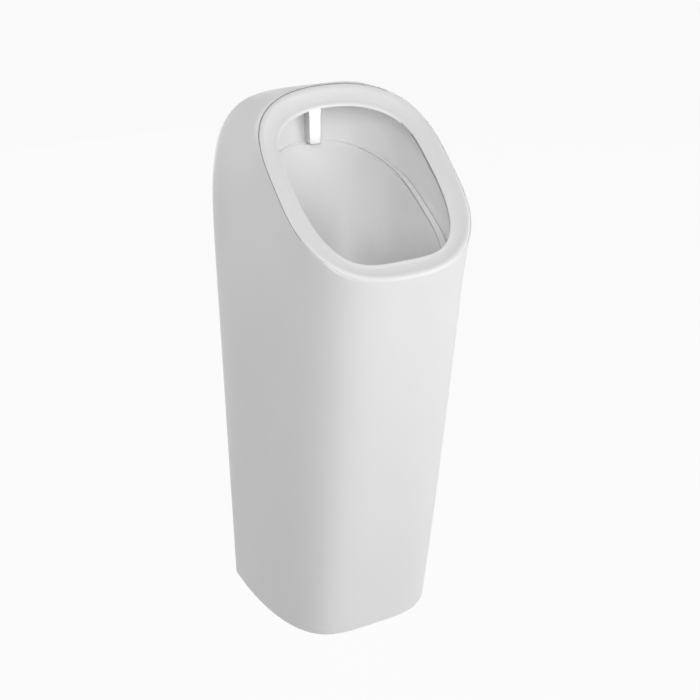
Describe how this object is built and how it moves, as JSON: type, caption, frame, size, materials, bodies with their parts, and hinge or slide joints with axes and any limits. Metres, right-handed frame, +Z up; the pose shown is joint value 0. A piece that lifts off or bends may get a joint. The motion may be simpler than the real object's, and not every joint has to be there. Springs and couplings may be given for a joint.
{
  "type": "floor standing urinal",
  "caption": "White glazed ceramic pedestal urinal with a sloping oval rim, a deep bowl, a metal water spreader, a waste with strainer and a bottle trap in its open back.",
  "frame": {"origin": "on the floor, under the middle of the bounding box", "axes": "+Z up from the floor, -Y the front where the user stands, +Y the building wall, +X to the right seen from the front"},
  "size_m": [0.3418, 0.3437, 0.9],
  "materials": {
    "ceramic_body": "gloss white glaze",
    "spreader_cover": "polished",
    "spreader_body": "moulded",
    "spreader_seal": "moulded",
    "spreader_washer": "fibre",
    "spreader_locknut": "turned",
    "flow_regulator": "moulded",
    "strainer": "brushed",
    "waste_body": "polished",
    "waste_top_seal": "moulded",
    "waste_under_seal": "moulded",
    "waste_washer": "moulded",
    "waste_backnut": "turned",
    "trap_inlet_nut": "moulded",
    "trap_inlet_seal": "moulded",
    "trap_body": "moulded",
    "dip_tube": "moulded",
    "trap_cup": "moulded",
    "trap_cup_seal": "moulded",
    "trap_outlet_nut": "moulded",
    "trap_outlet_seal": "moulded",
    "outlet_pipe": "extruded",
    "wall_collar": "moulded"
  },
  "bodies": {
    "urinal": {"ceramic_body": "ceramic_body", "spreader_cover": "spreader_cover", "spreader_body": "spreader_body", "spreader_seal": "spreader_seal", "spreader_washer": "spreader_washer", "spreader_locknut": "spreader_locknut", "flow_regulator": "flow_regulator", "waste_body": "waste_body", "waste_top_seal": "waste_top_seal", "waste_under_seal": "waste_under_seal", "waste_washer": "waste_washer", "waste_backnut": "waste_backnut", "trap_inlet_nut": "trap_inlet_nut", "trap_inlet_seal": "trap_inlet_seal", "trap_body": "trap_body", "dip_tube": "dip_tube", "trap_cup_seal": "trap_cup_seal", "trap_outlet_nut": "trap_outlet_nut", "trap_outlet_seal": "trap_outlet_seal", "outlet_pipe": "outlet_pipe", "wall_collar": "wall_collar"},
    "strainer": {"strainer": "strainer"},
    "trap_cup": {"trap_cup": "trap_cup"}
  },
  "joints": [
    {"name": "strainer_lift", "type": "slide", "parent": "urinal", "child": "strainer", "axis": [0, 0, 1], "range_m": [0, 0.04]},
    {"name": "trap_cup_drop", "type": "slide", "parent": "urinal", "child": "trap_cup", "axis": [0, 0, -1], "range_m": [0, 0.045]}
  ]
}
